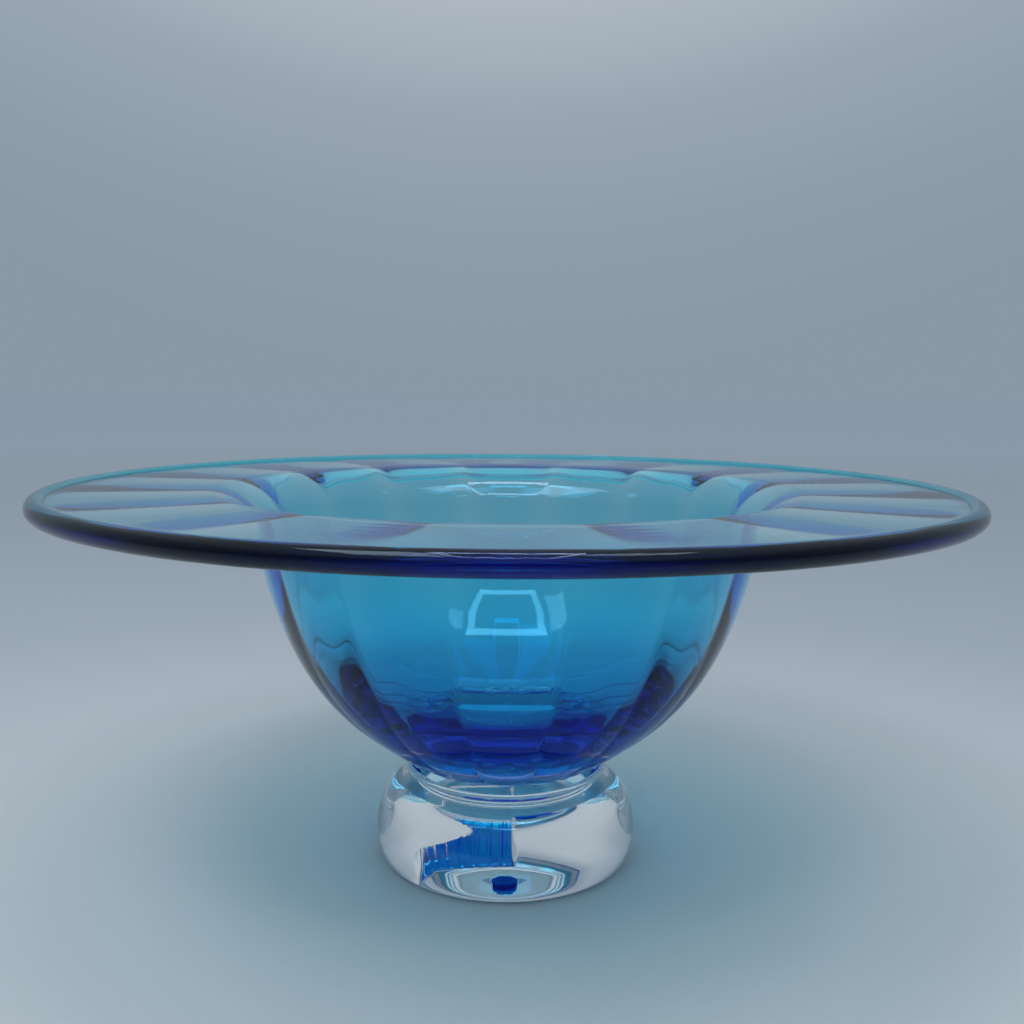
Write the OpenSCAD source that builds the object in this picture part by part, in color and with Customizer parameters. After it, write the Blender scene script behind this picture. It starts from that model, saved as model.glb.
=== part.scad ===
// Footed centrepiece bowl of blown glass: blue over clear, ribbed in an optic mould, with a
// wide turned-out rim, on a clear collar and a clear cushion foot. Millimetres, +Z up, origin
// at the middle of the resting face.

/* [Overall] */
// Diameter over the rolled rim
rim_d = 305; // [295:1:315]
// Height from the resting face to the top of the rolled rim
total_h = 131; // [128:1:136]

/* [Rim] */
// Thickness of the rolled rim
bead_d = 6.4; // [5.4:0.2:7.4]
// Thickness of the flat flange
flange_t = 4.0; // [3.4:0.2:4.6]
// Radius under the flange, where the wall turns out into it
bend_r = 16; // [12:0.5:20]

/* [Bowl] */
// Outer diameter of the wall where its curve ends, below the turn into the flange
shoulder_d = 165.2; // [158:0.2:172]
// Height of the same place above the resting face
shoulder_z = 103.2; // [98:0.2:106]
// How far the wall still leans outwards there, in degrees
shoulder_lean = 14.4; // [10:0.2:18]
// Diameter of the circle where the bowl sits on the collar
seat_d = 58; // [54:1:60]
// Thickness of the blue glass at the middle of the floor
blue_floor_t = 5; // [4:0.5:6]
// Thickness of the blue glass in the upper wall
blue_wall_t = 1.7; // [1.2:0.1:2.4]
// Thickness of the blue glass in the flange
blue_flange_t = 0.8; // [0.6:0.1:1.2]
// Thickness of the clear glass in the upper wall
clear_wall_t = 2.7; // [2.4:0.1:3.4]
// Thickness of the clear glass at the middle of the floor
clear_floor_t = 7.5; // [6:0.5:8]

/* [Optic ribs] */
// Number of lobes round the bowl
lobes = 16; // [12:2:20]
// Depth of the grooves between the lobes
groove_depth = 1.2; // [0.6:0.1:1.4]

/* [Collar] */
// Diameter over the collar's ledge
collar_d = 70; // [66:1:74]
// Diameter of the waist between collar and foot
waist_d = 62; // [60:1:64]
// Thickness of each thread ring round the waist
thread_d = 1.0; // [0.6:0.1:1.2]

/* [Foot] */
// Diameter of the foot at its widest
foot_d = 90.6; // [84:0.2:98]
// Height of the foot's shoulder
foot_h = 27.3; // [26.9:0.1:28]
// Diameter of the ring that the foot rests on
rest_d = 82; // [76:1:83]
// Diameter and depth of the ground hollow under the foot
hollow_d = 60; // [54:1:64]
// Depth of that hollow
hollow_depth = 3.6; // [2.4:0.1:4.2]

/* [Hidden] */

rim_z = total_h - bead_d / 2;                  // plane of the rolled rim's centre
flange_under = rim_z - flange_t / 2;           // underside of the flange
bead_mid_r = (rim_d - bead_d) / 2;             // radius to the bead's centre
// the flange ends where the round bead is as thick as it
flange_end_r = bead_mid_r - sqrt(pow(bead_d / 2, 2) - pow(flange_t / 2, 2));

collar_base = 26.8;                            // collar's underside, on the foot
ledge_z = 33;                                  // collar's ledge, where the lobes rest on it
dish_z = 29.5;                                 // bottom of the collar's dish
body_floor = 31.5;                             // where the bowl's smooth body curve meets the axis
seat_slope = 31.2;                             // slope of the bowl's underside at the seat
shoulder = [shoulder_d / 2, shoulder_z];
wall_up = [sin(shoulder_lean), cos(shoulder_lean)];

clear_pool_r = 32;                             // how far out the clear glass stays thick
clear_flange_t = flange_t - blue_flange_t;

curve_steps = 12;                              // points along the wall
bend_steps = 5;                                // points round the turn into the flange
facets_per_lobe = 6;                           // points round each lobe
around = lobes * facets_per_lobe;
round_fn = 96;

// Point at t along the cubic curve with control points p
function bezier(p, t) =
    pow(1 - t, 3) * p[0] + 3 * pow(1 - t, 2) * t * p[1] + 3 * (1 - t) * t * t * p[2] + pow(t, 3) * p[3];
// Direction of that curve at t
function bezier_dir(p, t) =
    pow(1 - t, 2) * (p[1] - p[0]) + 2 * (1 - t) * t * (p[2] - p[1]) + t * t * (p[3] - p[2]);
// Unit normal on the left of a direction, which is the inside of the bowl
function left(d) = [-d[1], d[0]] / norm(d);
function mix(a, b, t) = a + (b - a) * t;

// Underside of the bowl, from the seat up to the shoulder
under_curve = [[seat_d / 2, ledge_z],
    [seat_d / 2, ledge_z] + 32 * [cos(seat_slope), sin(seat_slope)],
    shoulder - 41.7 * wall_up,
    shoulder];
// Smooth body of the bowl, flat on the axis, which the inner surfaces are offset from
body_curve = [[0, body_floor], [36.6, body_floor], shoulder - 54 * wall_up, shoulder];

// Turn into the flange: an arc about bend_mid from the leaning wall to the flat underside
bend_rise = (flange_under - shoulder_z - bend_r * (1 - sin(shoulder_lean))) / cos(shoulder_lean);
bend_mid = shoulder + bend_rise * wall_up + bend_r * [cos(shoulder_lean), -sin(shoulder_lean)];
function bend_normal(t) = [-cos(mix(shoulder_lean, 90, t)) , sin(mix(shoulder_lean, 90, t))];

// Each station is [point on the outside, normal to the inside, clear glass, blue glass]
function wall_station(p, normal, h) =
    [p, normal, mix(clear_wall_t, clear_floor_t, exp(-pow(p[0] / clear_pool_r, 4))),
        mix(blue_wall_t, blue_floor_t, pow(1 - h, 2))];
function height_share(p) = (p[1] - body_floor) / (shoulder_z - body_floor);
body_stations = [
    for (i = [0:curve_steps]) let (t = i / curve_steps, p = bezier(body_curve, t))
        wall_station(p, left(bezier_dir(body_curve, t)), height_share(p)),
    for (i = [0:bend_steps]) let (t = i / bend_steps, n = bend_normal(t))
        [bend_mid + bend_r * n, n,
            mix(clear_wall_t, clear_flange_t, t), mix(blue_wall_t, blue_flange_t, t)],
    [[flange_end_r, flange_under], [0, 1], clear_flange_t, blue_flange_t]];

// Face between the clear and the blue glass, and the inside of the bowl
seam_line = [for (s = body_stations) s[0] + s[2] * s[1]];
inside_line = [for (s = body_stations) s[0] + (s[2] + s[3]) * s[1]];

// Bottom of the bowl in the collar's dish, a shallow parabola
function dish(r) = [r, dish_z + (ledge_z - dish_z) * pow(2 * r / seat_d, 2)];
dish_line = [for (i = [0:3]) dish(seat_d / 2 * i / 3)];

// Outside of the clear glass: [point, normal to the inside, depth of the grooves there]
outer_stations = [
    for (i = [0:2]) [dish_line[i], [0, 1], groove_depth * i / 3],
    for (i = [0:curve_steps]) let (t = i / curve_steps)
        [bezier(under_curve, t), left(bezier_dir(under_curve, t)), groove_depth],
    for (i = [0:bend_steps]) let (n = bend_normal(i / bend_steps))
        [bend_mid + bend_r * n, n, mix(groove_depth, groove_depth * 0.7, i / bend_steps)],
    [[flange_end_r, flange_under], [0, 1], 0]];

// Share of the groove depth at angle a: 0 on a lobe's crest, 1 in the groove
function groove(a) = 1 - abs(cos(lobes / 2 * a));
function ring(stations, i, lobed) = [
    for (k = [0:around - 1])
        let (a = 360 * k / around, s = stations[i],
             p = s[0] + (lobed ? s[2] * groove(a) : 0) * s[1])
        [p[0] * cos(a), p[0] * sin(a), p[1]]];

module blue_lining()
    color([0.05, 0.45, 0.75, 0.6])
        rotate_extrude($fn = round_fn)
            polygon(concat(seam_line, [for (i = [len(inside_line) - 1:-1:0]) inside_line[i]]));

module clear_casing() {
    seam_stations = [for (p = seam_line) [p, [0, 0]]];
    outer_rings = len(outer_stations) - 1;      // without the pole
    seam_rings = len(seam_stations) - 1;
    rings = outer_rings + seam_rings;
    // rings run from the outer pole out to the rim, then back along the seam to the inner pole
    points = concat(
        [for (i = [1:outer_rings]) each ring(outer_stations, i, true)],
        [for (i = [seam_rings:-1:1]) each ring(seam_stations, i, false)],
        [[0, 0, outer_stations[0][0][1]], [0, 0, seam_stations[0][0][1]]]);
    pole = rings * around;
    faces = concat(
        [for (k = [0:around - 1]) [pole, (k + 1) % around, k]],
        [for (i = [0:rings - 2], k = [0:around - 1])
            let (a = i * around + k, b = i * around + (k + 1) % around)
            each [[a, b, b + around], [a, b + around, a + around]]],
        [for (k = [0:around - 1])
            let (last = (rings - 1) * around)
            [last + k, last + (k + 1) % around, pole + 1]]);
    color([0.85, 0.92, 0.97, 0.4]) polyhedron(points, faces, convexity = 6);
}

module rolled_rim()
    color([0.03, 0.15, 0.3, 0.8])
        rotate_extrude($fn = round_fn)
            intersection() {
                translate([bead_mid_r, rim_z]) circle(d = bead_d, $fn = 48);
                translate([flange_end_r, rim_z - bead_d]) square(2 * bead_d);
            }

module collar() {
    edge_r = 0.9;                               // rounding of the ledge's edge
    skirt_z = collar_base + 1.8;                // foot of the flare under the ledge
    color([0.88, 0.94, 0.97, 0.4]) {
        rotate_extrude($fn = round_fn)
            polygon(concat(
                [[0, collar_base], [waist_d / 2, collar_base], [waist_d / 2, skirt_z]],
                [for (a = [-30:20:90])
                    [collar_d / 2 - edge_r, ledge_z - edge_r] + edge_r * [cos(a), sin(a)]],
                [for (i = [3:-1:0]) dish_line[i]]));
        for (k = [0, 1])
            translate([0, 0, collar_base + 0.7 + 1.2 * k])
                rotate_extrude($fn = round_fn)
                    translate([waist_d / 2, 0]) circle(d = thread_d, $fn = 24);
    }
}

module foot() {
    bulge_z = 9.4;                              // height of the widest place
    crest_r = waist_d / 2 + 5;                  // radius of the shoulder's crest
    lower = [[rest_d / 2, 0], [rest_d / 2 + 2.6, 0.6], [foot_d / 2, 5.5], [foot_d / 2, bulge_z]];
    upper = [[foot_d / 2, bulge_z], [foot_d / 2, bulge_z + 8.6],
        [crest_r + 6.2, foot_h], [crest_r, foot_h]];
    // ground hollow, a shallow parabola
    hollow = [for (i = [0:5]) let (s = i / 5) [s * hollow_d / 2, hollow_depth * (1 - s * s)]];
    color([0.88, 0.94, 0.97, 0.4])
        rotate_extrude($fn = round_fn)
            polygon(concat(
                hollow,
                [for (i = [0:6]) bezier(lower, i / 6)],
                [for (i = [1:12]) bezier(upper, i / 12)],
                [[waist_d / 2, collar_base], [0, collar_base]]));
}

blue_lining();
clear_casing();
rolled_rim();
collar();
foot();
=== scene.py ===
import math

import bpy
import numpy as np
from mathutils import Matrix, Vector


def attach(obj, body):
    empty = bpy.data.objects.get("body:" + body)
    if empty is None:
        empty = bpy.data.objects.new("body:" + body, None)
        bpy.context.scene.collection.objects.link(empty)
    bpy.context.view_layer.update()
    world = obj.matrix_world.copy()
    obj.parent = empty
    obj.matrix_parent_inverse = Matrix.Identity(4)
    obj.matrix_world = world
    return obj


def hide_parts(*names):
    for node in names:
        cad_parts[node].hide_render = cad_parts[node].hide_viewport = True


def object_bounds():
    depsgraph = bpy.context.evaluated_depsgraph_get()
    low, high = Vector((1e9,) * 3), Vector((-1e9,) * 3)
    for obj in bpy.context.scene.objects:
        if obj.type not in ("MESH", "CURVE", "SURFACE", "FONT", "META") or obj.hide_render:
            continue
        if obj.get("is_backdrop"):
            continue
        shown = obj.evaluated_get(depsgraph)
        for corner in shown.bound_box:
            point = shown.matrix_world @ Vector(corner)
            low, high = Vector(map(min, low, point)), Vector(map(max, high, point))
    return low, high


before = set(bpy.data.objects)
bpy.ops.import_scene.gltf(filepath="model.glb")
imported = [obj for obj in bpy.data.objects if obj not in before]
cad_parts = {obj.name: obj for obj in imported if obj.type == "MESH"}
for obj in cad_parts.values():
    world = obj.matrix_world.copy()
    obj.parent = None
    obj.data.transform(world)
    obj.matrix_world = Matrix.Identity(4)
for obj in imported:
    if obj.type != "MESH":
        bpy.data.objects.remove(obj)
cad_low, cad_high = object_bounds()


# ---- Camera ----
# A lens held close, a little above the rim and tipped down, so that the rim is a thin ellipse
# and the bowl is seen through its own wall.
MM = 0.001
bead_thickness = 6.4 * MM
rim_plane = cad_high.z - bead_thickness / 2
camera_data = bpy.data.cameras.new("camera")
camera_data.sensor_width = 36.0
camera_data.lens = 38.67
camera_data.clip_start = 0.01
camera_data.clip_end = 100.0
camera = bpy.data.objects.new("camera", camera_data)
camera.location = (0.0, -375.8 * MM, rim_plane + 38.0 * MM)
tip_down, roll, turn = math.radians(6.82), math.radians(0.49), math.radians(-0.22)
camera.rotation_euler = (
    Matrix.Rotation(turn, 3, "Z")
    @ Matrix.Rotation(math.pi / 2 - tip_down, 3, "X")
    @ Matrix.Rotation(roll, 3, "Z")
).to_euler()
scene = bpy.context.scene
scene.collection.objects.link(camera)
scene.camera = camera


# ---- Floor and light ----
# A plain pale tabletop in a soft light tent. Clear glass takes its whole look from what it
# bends and mirrors, so the tent's pale blue-grey walls matter as much as its lamps.
def linear(hex_colour):
    """An sRGB hex colour as linear RGBA."""
    srgb = [int(hex_colour[i:i + 2], 16) / 255 for i in (1, 3, 5)]
    return [c / 12.92 if c <= 0.04045 else ((c + 0.055) / 1.055) ** 2.4 for c in srgb] + [1.0]


def add(tree, kind, inputs=(), **settings):
    """Adds a node, sets its properties, and gives each named input a value or a link."""
    made = tree.nodes.new(kind)
    for name, value in settings.items():
        setattr(made, name, value)
    for name, value in dict(inputs).items():
        if isinstance(value, bpy.types.NodeSocket):
            tree.links.new(value, made.inputs[name])
        else:
            made.inputs[name].default_value = value
    return made


def blank_material(name):
    material = bpy.data.materials.new(name)
    material.use_nodes = True
    material.node_tree.nodes.clear()
    return material, material.node_tree


def add_mesh(name, points, faces, material):
    mesh = bpy.data.meshes.new(name)
    mesh.from_pydata(points, [], faces)
    mesh.materials.append(material)
    made = bpy.data.objects.new(name, mesh)
    scene.collection.objects.link(made)
    return made


floor_radius, floor_sides = 12.0, 128
# The table lies just under the foot, so that the two faces don't coincide.
floor_drop = 0.2 * MM
turns = np.linspace(0, 2 * np.pi, floor_sides + 1)[:-1]
floor_edge = np.stack([floor_radius * np.cos(turns), floor_radius * np.sin(turns),
                       0 * turns - floor_drop], 1)
material, tree = blank_material("matt_laminate")
place = add(tree, "ShaderNodeTexCoord")
spread = add(tree, "ShaderNodeVectorMath", {0: place.outputs["Object"]}, operation="LENGTH")
# Painted light over the distance from the bowl, up to 2.5 m: a painted pool of light, palest under
# it, greyest at 0.4 m, and a cool pale grey from there to the walls.
painted_pool_share = add(tree, "ShaderNodeMapRange", {"Value": spread.outputs["Value"], "From Max": 2.5})
painted_light_tint = add(tree, "ShaderNodeValToRGB", {"Fac": painted_pool_share.outputs[0]})
painted_light_tint.color_ramp.elements[0].color = linear("#C8CACB")
painted_light_tint.color_ramp.elements[1].color = linear("#C1CBD4")
painted_light_tint.color_ramp.elements.new(0.06).color = linear("#C5C7C9")
painted_light_tint.color_ramp.elements.new(0.17).color = linear("#B5BCC4")
# Broad patches, 9 across the whole table, which only change the roughness.
grain = add(tree, "ShaderNodeTexNoise", {"Scale": 9.0, "Detail": 3.0})
tone = add(tree, "ShaderNodeMapRange", {"Value": grain.outputs["Fac"], "To Min": 0.6, "To Max": 0.8})
# The room is darker behind the viewer, and the table's colour is darkened with painted shade from 0.15
# m to 0.7 m towards them.
along = add(tree, "ShaderNodeSeparateXYZ", {"Vector": place.outputs["Object"]})
painted_front_shade = add(tree, "ShaderNodeMapRange", {
    "Value": along.outputs["Y"], "From Min": -0.7, "From Max": -0.15, "To Min": 0.4, "To Max": 1.0})
front_shaded_colour = add(tree, "ShaderNodeVectorMath", {
    0: painted_light_tint.outputs["Color"], "Scale": painted_front_shade.outputs[0]}, operation="SCALE")
shade = add(tree, "ShaderNodeBsdfPrincipled", {
    "Base Color": front_shaded_colour.outputs["Vector"], "Roughness": tone.outputs[0], "Specular IOR Level": 0.2})
add(tree, "ShaderNodeOutputMaterial", {"Surface": shade.outputs[0]})
floor = add_mesh("floor", floor_edge.tolist(), [list(range(floor_sides))], material)
floor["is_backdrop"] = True

# The tent's cloth: dimmest at table height, brighter towards its lit roof, and open at the
# front, where the room is darker. It is dimmer at the sides: the height that picks the colour
# is Z less 0.6 X squared.
world = bpy.data.worlds.new("light_tent")
scene.world = world
world.use_nodes = True
world.node_tree.nodes.clear()
tree = world.node_tree
way = add(tree, "ShaderNodeTexCoord")
part = add(tree, "ShaderNodeSeparateXYZ", {"Vector": way.outputs["Generated"]})
aside = add(tree, "ShaderNodeMath", {0: part.outputs["X"], 1: 2.0}, operation="POWER")
lift = add(tree, "ShaderNodeMath", {
    0: aside.outputs[0], 1: -0.6, 2: part.outputs["Z"]}, operation="MULTIPLY_ADD")
cloth = add(tree, "ShaderNodeValToRGB", {"Fac": lift.outputs[0]})
cloth.color_ramp.elements[0].color = linear("#8B98A6")
cloth.color_ramp.elements[1].color = linear("#C2CBD3")
for height, hex_colour in (
        (0.12, "#8F9DAA"), (0.22, "#97A4B0"), (0.33, "#AEB8C1"), (0.65, "#B4BDC6")):
    cloth.color_ramp.elements.new(height).color = linear(hex_colour)
opening = add(tree, "ShaderNodeMapRange", {
    "Value": part.outputs["Y"], "From Min": -0.8, "From Max": 0.5, "To Min": 0.45, "To Max": 1.0})
glow = add(tree, "ShaderNodeMapRange", {
    "Value": part.outputs["Z"], "From Min": 0.15, "From Max": 0.6,
    "To Min": opening.outputs[0], "To Max": 1.1})
wall = add(tree, "ShaderNodeBackground", {
    "Color": cloth.outputs["Color"], "Strength": glow.outputs[0]})
add(tree, "ShaderNodeOutputWorld", {"Surface": wall.outputs[0]})


def soft_box(name, place, size, aim, radiance, hex_colour):
    """A rectangular lamp of even brightness: its power is pi times its area times its radiance."""
    data = bpy.data.lights.new(name, "AREA")
    data.shape = "RECTANGLE"
    data.size, data.size_y = size
    data.energy = math.pi * size[0] * size[1] * radiance
    data.color = linear(hex_colour)[:3]
    lamp = bpy.data.objects.new(name, data)
    lamp.location = place
    lamp.rotation_euler = (Vector(aim) - Vector(place)).to_track_quat("-Z", "Y").to_euler()
    scene.collection.objects.link(lamp)
    return lamp


# A window of lamps in the roof, forward of the bowl: a frame of bright strips with a softer
# pane on each side of it. Each row is a name, x, y, width, depth and radiance.
roof = 1.05
for name, x, y, width, depth, radiance in (
        ("strip_front", 0, -0.82, 0.37, 0.09, 10.0),
        ("strip_back", 0, -0.12, 0.37, 0.11, 10.0),
        ("strip_left", -0.175, -0.47, 0.025, 0.62, 8.0),
        ("strip_right", 0.175, -0.47, 0.025, 0.62, 8.0),
        ("pane_left", -0.39, -0.44, 0.36, 0.60, 4.4),
        ("pane_right", 0.36, -0.30, 0.30, 0.28, 3.6)):
    soft_box(name, (x, y, roof), (width, depth), (x, y, 0), radiance, "#F6FAFF")
scene.view_settings.view_transform = "Standard"
# Light crosses many faces of glass on its way through the bowl.
scene.cycles.max_bounces = 48
scene.cycles.transmission_bounces = 48
scene.cycles.glossy_bounces = 24
scene.cycles.transparent_max_bounces = 16


# ---- Clear casing ----
# The outer gather of clear glass, blown into a ribbed mould: 16 rounded lobes with narrow
# grooves between them. Its inside is fused to the blue glass, so no surface shows there.
LOBES = 16
AROUND = LOBES * 30
# From here on lengths are in millimetres, until turned_solid divides them.
MM_PER_M = 1000.0
seam_gap = 0.01
bead_d = bead_thickness * MM_PER_M
rim_z = rim_plane * MM_PER_M
flange_t, bend_r = 4.0, 16.0
# The wall's curve ends at the shoulder, (radius, height), where it still leans out.
shoulder = np.array([82.6, 103.2])
lean = math.radians(14.4)
seat_r, seat_slope = 29.0, math.radians(31.2)
# Heights of the collar's ledge and of the bottom of its dish, on the axis.
ledge_z, dish_z = 33.0, 29.5
blue_flange, clear_wall = 0.6, 2.6
clear_flange = flange_t - blue_flange
flange_under = rim_z - flange_t / 2
bead_mid_r = cad_high.x * MM_PER_M - bead_d / 2
flange_end = bead_mid_r - math.sqrt((bead_d / 2) ** 2 - (flange_t / 2) ** 2)
wall_up = np.array([math.sin(lean), math.cos(lean)])
seat_way = np.array([math.cos(seat_slope), math.sin(seat_slope)])
bend_rise = (flange_under - shoulder[1] - bend_r * (1 - math.sin(lean))) / math.cos(lean)
bend_mid = shoulder + bend_rise * wall_up + bend_r * np.array([math.cos(lean), -math.sin(lean)])


def bezier(p, t):
    """Cubic curve: the four control points weighted by the Bernstein polynomials of t."""
    t = t[:, None]
    return ((1 - t) ** 3 * p[0] + 3 * (1 - t) ** 2 * t * p[1]
            + 3 * (1 - t) * t * t * p[2] + t ** 3 * p[3])


def bezier_left(p, t):
    """Unit normal on the left of the curve, which is the inside of the bowl: the curve's
    derivative turned by 90 degrees."""
    t = t[:, None]
    d = (1 - t) ** 2 * (p[1] - p[0]) + 2 * (1 - t) * t * (p[2] - p[1]) + t * t * (p[3] - p[2])
    return np.stack([-d[:, 1], d[:, 0]], 1) / np.linalg.norm(d, axis=1)[:, None]


def groove(angle, softness=0.12):
    """Share of the groove depth: 0 on a lobe's crest, 1 in the groove between two lobes, which
    is |cos| of half the lobe count times the angle, rounded off by softness at its cusp."""
    wave = np.sqrt(np.cos(LOBES / 2 * angle) ** 2 + softness ** 2)
    return (math.sqrt(1 + softness ** 2) - wave) / (math.sqrt(1 + softness ** 2) - softness)


theta = np.arange(AROUND) * 2 * np.pi / AROUND
valley = groove(theta)
# The crease in the middle of each groove: a bell of the angle from it, this many radians wide.
crease_width = 0.018
crease_angle = np.arcsin(np.abs(np.cos(LOBES / 2 * theta))) / (LOBES / 2)
crease = np.exp(-(crease_angle / crease_width) ** 2)
# How far the underside's cubic curve is pulled along its two end directions.
seat_pull, shoulder_pull = 32, 41.7
under_curve = np.array([(seat_r, ledge_z), np.array([seat_r, ledge_z]) + seat_pull * seat_way,
                        shoulder - shoulder_pull * wall_up, shoulder])
wall_in = np.array([-wall_up[1], wall_up[0]])


def inner_line(floor_z, floor_pull, wall_pull, wall_depth, flange_depth, counts):
    """A line inside the glass from the axis to the flange's end, and its normal to the inside.
    The wall is a cubic curve from the axis at floor_z, level there and pulled out by
    floor_pull, to wall_depth inside the shoulder, pulled along the leaning wall by wall_pull.
    The turn is an arc, and the flange is straight, flange_depth above its underside."""
    end = shoulder + wall_depth * wall_in
    curve = np.array([(0, floor_z), (floor_pull, floor_z), end - wall_pull * wall_up, end])
    t, s, f = (np.linspace(0, 1, count) for count in counts)
    a = lean + (math.pi / 2 - lean) * s
    n = np.stack([-np.cos(a), np.sin(a)], 1)
    depth = wall_depth + (flange_depth - wall_depth) * s
    turn = bend_mid + (bend_r + depth)[:, None] * n
    flange = np.stack([bend_mid[0] + (flange_end - bend_mid[0]) * f,
                       0 * f + flange_under + flange_depth], 1)
    return (np.vstack([bezier(curve, t), turn, flange[1:]]),
            np.vstack([bezier_left(curve, t), n, np.tile([0.0, 1.0], (len(f) - 1, 1))]))


sharp_angle = math.radians(55)


def turned_solid(name, rows_r, rows_z, fused, material, poles=True):
    """A closed solid turned round Z. Row i is the ring (r cos a, r sin a, z) with r and z allowed
    to vary round it; with poles the first and last rows are points on the axis, otherwise the
    last row joins the first. fused says which bands between rows are welded to a neighbour."""
    rows, n = rows_r.shape
    x, y = rows_r * np.cos(theta), rows_r * np.sin(theta)
    points = np.stack([x, y, rows_z], 2) / MM_PER_M
    k = np.arange(n)
    nxt = (k + 1) % n
    if poles:
        body = points[1:-1].reshape(-1, 3)
        first, last = len(body), len(body) + 1
        body = np.vstack([body, points[0, :1], points[-1, :1]])
        i = np.arange(rows - 3)[:, None] * n
        quads = np.stack([i + k, i + nxt, i + n + nxt, i + n + k], 2).reshape(-1, 4)
        end = (rows - 3) * n
        tris = np.vstack([np.stack([first + 0 * k, nxt, k], 1),
                          np.stack([end + k, end + nxt, last + 0 * k], 1)])
        flags = np.r_[np.repeat(fused[1:-1], n), np.repeat(fused[[0, -1]], n)]
    else:
        body = points.reshape(-1, 3)
        i = np.arange(rows)[:, None]
        j = (i + 1) % rows
        quads = np.stack([i * n + k, i * n + nxt, j * n + nxt, j * n + k], 2).reshape(-1, 4)
        tris = np.zeros((0, 3), int)
        flags = np.repeat(fused, n)
    made = add_mesh(name, body.tolist(), quads.tolist() + tris.tolist(), material)
    weld = made.data.attributes.new("welded", "FLOAT", "FACE")
    weld.data.foreach_set("value", flags.astype(np.float32))
    made.data.polygons.foreach_set("use_smooth", np.ones(len(made.data.polygons), bool))
    made.data.set_sharp_from_angle(angle=sharp_angle)
    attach(made, "root")
    return made


def hot_glass(name, absorbed, per_metre):
    """Fire-polished soda glass: smooth, IOR 1.5, with the colour in its depth, and faintly wavy
    from the tools, in waves some 30 mm long. Its reflections are tinted pale blue, which keeps
    the colour behind them deep. Bands welded to a neighbour get IOR 1, because no surface is
    left there."""
    material, tree = blank_material(name)
    welded = add(tree, "ShaderNodeAttribute", attribute_name="welded")
    ior = add(tree, "ShaderNodeMath", {
        0: welded.outputs["Fac"], 1: -0.5, 2: 1.5}, operation="MULTIPLY_ADD")
    place = add(tree, "ShaderNodeTexCoord")
    wave = add(tree, "ShaderNodeTexNoise", {
        "Vector": place.outputs["Object"], "Scale": 35.0, "Detail": 1.0})
    bump = add(tree, "ShaderNodeBump", {
        "Height": wave.outputs["Fac"], "Distance": 0.1 * MM, "Strength": 1.0})
    shade = add(tree, "ShaderNodeBsdfPrincipled", {
        "Base Color": (1, 1, 1, 1), "Roughness": 0.0, "IOR": ior.outputs[0],
        "Specular Tint": linear("#BCD8F0"),
        "Transmission Weight": 1.0, "Normal": bump.outputs[0]})
    depth = add(tree, "ShaderNodeVolumeAbsorption", {"Color": linear(absorbed), "Density": per_metre})
    add(tree, "ShaderNodeOutputMaterial", {"Surface": shade.outputs[0], "Volume": depth.outputs[0]})
    return material


clear_glass = hot_glass("clear_soda_glass", "#C8DCE4", 3.0)

under_t = np.linspace(0, 1, 80)
under_p, under_n = bezier(under_curve, under_t), bezier_left(under_curve, under_t)
# The line where the lobes touch the ledge is scalloped: 1.2 mm inside the seat's circle on a
# lobe's crest, and 5.5 mm further in between two lobes.
contact_r = seat_r - 1.2 - 5.5 * valley


def dish(share):
    """Height of the collar's dish at that share of the way out to the scalloped contact line."""
    return dish_z + (ledge_z - dish_z) * share ** 2 + 0 * theta


seat_s = np.linspace(0, 1, 12)[:, None]
# The wall starts a few rows above the seat and leaves room for the toes. The grooves are 0.6 mm
# deep above and shallower towards the seat, where a fine crease takes over: low grows from 0 at
# 92 mm high to 1 at 40 mm.
wall_p, wall_n = under_p[5:], under_n[5:]
low = np.clip((92 - wall_p[:, 1:]) / 52.0, 0, 1)
groove_shape = valley ** 1.5
wall_depth = (0.6 - 0.3 * low) * groove_shape + 0.32 * low ** 2 * crease
wall_r = wall_p[:, :1] + wall_n[:, :1] * wall_depth
wall_z = wall_p[:, 1:] + wall_n[:, 1:] * wall_depth
# Each lobe ends in a rounded toe, a quarter ellipse from the contact line up to the wall.
toe_w, toe_h = 1.8, 1.4
toe_a = np.linspace(0, math.pi / 2, 7)[1:, None]
blend = np.linspace(0, 1, 5)[1:-1, None]
toe_r = contact_r + toe_w * np.sin(toe_a)
toe_z = ledge_z + toe_h * (1 - np.cos(toe_a)) + 0 * theta
lip_r = np.vstack([toe_r, toe_r[-1] + blend * (wall_r[0] - toe_r[-1])])
lip_z = np.vstack([toe_z, toe_z[-1] + blend * (wall_z[0] - toe_z[-1])])
bend_s = np.linspace(0, 1, 24)[1:]
bend_a = lean + (math.pi / 2 - lean) * bend_s
bend_n = np.stack([-np.cos(bend_a), np.sin(bend_a)], 1)
bend_p = bend_mid + bend_r * bend_n
# Round the turn the grooves grow to 0.7 mm, and they run out along the flange.
bend_depth = (0.6 + 0.1 * bend_s[:, None]) * groove_shape
flange_s = np.linspace(0, 1, 24)[1:, None]
flange_depth = (1 - flange_s ** 2) * 0.7 * groove_shape
outer_r = np.vstack([seat_s * contact_r, lip_r, wall_r, bend_p[:, :1] + bend_n[:, :1] * bend_depth,
                     bend_mid[0] + (flange_end - seam_gap - bend_mid[0]) * flange_s + 0 * valley])
outer_z = np.vstack([dish(seat_s), lip_z, wall_z, bend_p[:, 1:] + bend_n[:, 1:] * bend_depth,
                     flange_under + flange_depth])
seam, seam_n = inner_line(floor_z=40.8, floor_pull=37, wall_pull=52, wall_depth=clear_wall,
                          flange_depth=clear_flange, counts=(30, 10, 5))
seam[-1, 0] -= seam_gap
seam_r = np.repeat(seam[::-1, :1], AROUND, 1)
seam_z = np.repeat(seam[::-1, 1:], AROUND, 1)
welded_bands = np.r_[np.ones(len(seat_s) - 1), np.zeros(len(outer_r) - len(seat_s)),
                     np.ones(len(seam_r))]
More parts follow.
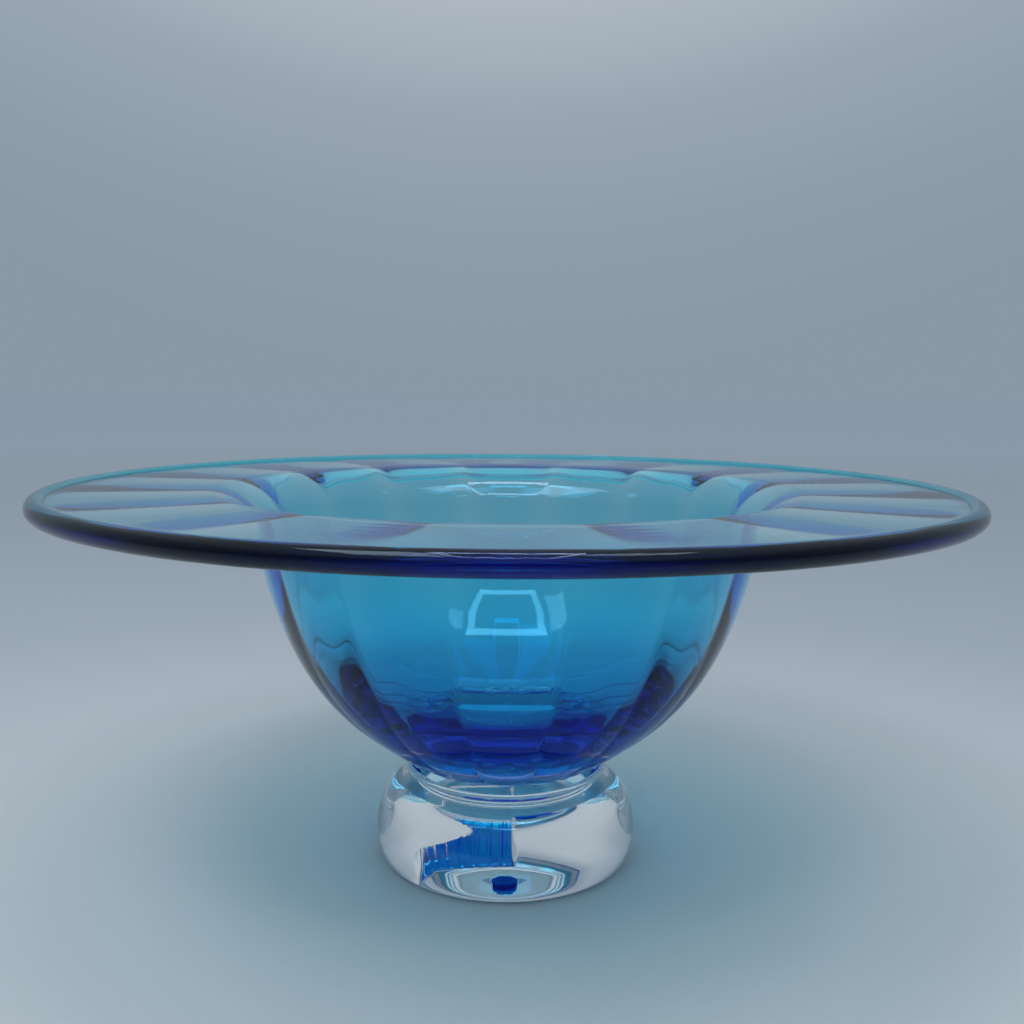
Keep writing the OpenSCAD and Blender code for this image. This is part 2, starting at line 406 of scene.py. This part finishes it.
casing = turned_solid("clear_casing_glass", np.vstack([outer_r, seam_r]), np.vstack([outer_z, seam_z]),
                      welded_bands, clear_glass)
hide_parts("clear_casing")


# ---- Blue lining ----
# The inner gather of transparent blue glass: a thin skin over the flange that grows into a
# thick pool at the bottom of the bowl. The mould's ribs show faintly on its inside too.
blue_glass = hot_glass("blue_soda_glass", "#00EDFC", 900.0)
blue_wall, rib_depth = 1.4, 0.3
seam_up = seam + seam_gap * seam_n
inside, inside_n = inner_line(floor_z=43.8, floor_pull=32, wall_pull=49,
                              wall_depth=clear_wall + blue_wall,
                              flange_depth=clear_flange + blue_flange, counts=(80, 24, 24))
# The ribs rise between 60 and 75 mm from the axis and run out over the flange's last 25 mm.
rise = np.clip((inside[:, 0] - 60.0) / 15.0, 0, 1)
fade = np.clip((flange_end - inside[:, 0]) / 25.0, 0, 1) ** 0.5
rib = (rib_depth * rise * fade)[:, None] * groove_shape
inside_r = inside[:, :1] - inside_n[:, :1] * rib
inside_z = inside[:, 1:] - inside_n[:, 1:] * rib
inside_r[-1] = flange_end - seam_gap
lining_r = np.vstack([np.repeat(seam_up[:, :1], AROUND, 1), inside_r[::-1]])
lining_z = np.vstack([np.repeat(seam_up[:, 1:], AROUND, 1), inside_z[::-1]])
welded_bands = np.r_[np.ones(len(seam_up)), np.zeros(len(inside_r) - 1)]
lining = turned_solid("blue_lining_glass", lining_r, lining_z, welded_bands, blue_glass)
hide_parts("blue_lining")


# ---- Rolled rim ----
# The lip, turned over on itself while soft and fire-polished into a thick round bead that is
# welded to the flange's end.
rim_glass = hot_glass("rim_soda_glass", "#00E9F2", 350.0)
# The bead's circle is cut where the flange meets it.
cut = math.acos((flange_end - bead_mid_r) / (bead_d / 2))
around_bead = np.linspace(-cut, cut, 64)
bead_r = bead_mid_r + bead_d / 2 * np.cos(around_bead)
bead_z = rim_z + bead_d / 2 * np.sin(around_bead)
rim = turned_solid("rolled_rim_bead", np.repeat(bead_r[:, None], AROUND, 1),
                   np.repeat(bead_z[:, None], AROUND, 1),
                   np.r_[np.zeros(len(around_bead) - 1), 1.0], rim_glass, poles=False)
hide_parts("rolled_rim")


# ---- Collar ----
# A short clear knot of glass that joins the bowl to the foot: a flat ledge that the lobes rest
# on, a flared skirt, and two threads left by the jacks round the waist.
collar_base, waist_r, collar_r, edge_r = 26.8, 31.0, 35.0, 0.9
# Two threads, half rounds a little flattened, 1.2 mm apart.
thread_r, thread_pitch = 0.5, 1.2
thread_a = np.linspace(-math.pi / 2, math.pi / 2, 9)
threads = [np.stack([waist_r + 0.9 * thread_r * np.cos(thread_a),
                     collar_base + 0.7 + thread_pitch * k + thread_r * np.sin(thread_a)], 1)
           for k in (0, 1)]
# The ledge's outer edge is rounded, and the skirt flares up to it from above the threads.
edge_mid_r, edge_mid_z = collar_r - edge_r, ledge_z - edge_r
edge_a = np.radians(np.linspace(-30, 90, 14))
edge = np.stack([edge_mid_r + edge_r * np.cos(edge_a), edge_mid_z + edge_r * np.sin(edge_a)], 1)
skirt = np.array([[waist_r, collar_base + 2.5]])
side = np.vstack([*threads, skirt, edge])
base = np.stack([np.linspace(0, waist_r, 6), np.full(6, collar_base)], 1)
# The ledge runs in towards the scalloped contact line and dips into a fine crevice along it.
crevice_w, crevice_d = 0.6, 0.4
ledge_s = np.linspace(0, 1, 6)[1:, None]
crevice_s = np.linspace(0, 1, 7)[1:, None]
ledge_r = edge_mid_r + (contact_r + crevice_w - collar_r + edge_r) * ledge_s
crevice_r = contact_r + crevice_w * (1 - crevice_s)
crevice_z = ledge_z - crevice_d * np.sin(math.pi * crevice_s) + 0 * theta
dish_s = np.linspace(1, 0, 10)[1:, None]
turned = np.vstack([base, side])
collar = turned_solid(
    "collar_glass",
    np.vstack([np.repeat(turned[:, :1], AROUND, 1), ledge_r, crevice_r, dish_s * contact_r]),
    np.vstack([np.repeat(turned[:, 1:], AROUND, 1), 0 * ledge_r + ledge_z, crevice_z - seam_gap,
               dish(dish_s) - seam_gap]),
    np.r_[np.ones(len(base) - 1), np.zeros(len(side) + len(ledge_s) + len(crevice_s)),
          np.ones(len(dish_s))], clear_glass)
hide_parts("collar")


# ---- Foot ----
# A thick cushion of clear glass, flattened on the marver, with a hollow ground under it where
# the pontil iron was broken off.
foot_r, foot_h, rest_r, hollow_r, hollow_depth = 45.3, 27.3, 41.0, 30.0, 3.6
# Two cubic curves meet at the widest place; the upper one ends level, at the shoulder's crest.
bulge_z = 9.4
crest_r = waist_r + 5
lower = np.array([(rest_r, 0), (rest_r + 2.6, 0.6), (foot_r, 5.5), (foot_r, bulge_z)])
upper = np.array([(foot_r, bulge_z), (foot_r, bulge_z + 8.6),
                  (crest_r + 6.2, foot_h), (crest_r, foot_h)])
hollow_s = np.linspace(0, 1, 64)[:, None]
hollow_row_r = hollow_s * hollow_r + 0 * theta
scar_x, scar_y = hollow_row_r * np.cos(theta), hollow_row_r * np.sin(theta)


def step(value, start, end):
    """0 before start, 1 after end, and 3u^2 - 2u^3 between them."""
    u = np.clip((value - start) / (end - start), 0, 1)
    return u * u * (3 - 2 * u)


# The pontil's scar is a chip in the hollow beside the axis, with steep edges. Its floor rises
# 0.24 mm for each millimetre towards the back, with torn streaks 2.7 and 1.5 mm wide.
scar_front = -13
scar_across = step(scar_x, -22.5, -21) * step(-scar_x, -3, -1.5)
scar_along = step(scar_y, scar_front, scar_front + 0.6) * step(-scar_y, 3.4, 4)
streaks = 0.05 * np.cos(2.3 * scar_x) + 0.04 * np.cos(4.1 * scar_x + 1)
scar = scar_across * scar_along * (0.24 * (scar_y - scar_front) + streaks)
hollow_z = hollow_depth * (1 - hollow_s ** 2) + scar
top = np.linspace(waist_r, 0, 5)
outline = np.vstack([bezier(lower, np.linspace(0, 1, 24)),
                     bezier(upper, np.linspace(0, 1, 50)[1:]),
                     np.stack([top, 0 * top + collar_base - seam_gap], 1)])
foot = turned_solid("foot_glass", np.vstack([hollow_row_r, np.repeat(outline[:, :1], AROUND, 1)]),
                    np.vstack([hollow_z, np.repeat(outline[:, 1:], AROUND, 1)]),
                    np.r_[np.zeros(len(hollow_s) + len(outline) - len(top)),
                          np.ones(len(top) - 1)], clear_glass)
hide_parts("foot")


low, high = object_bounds()
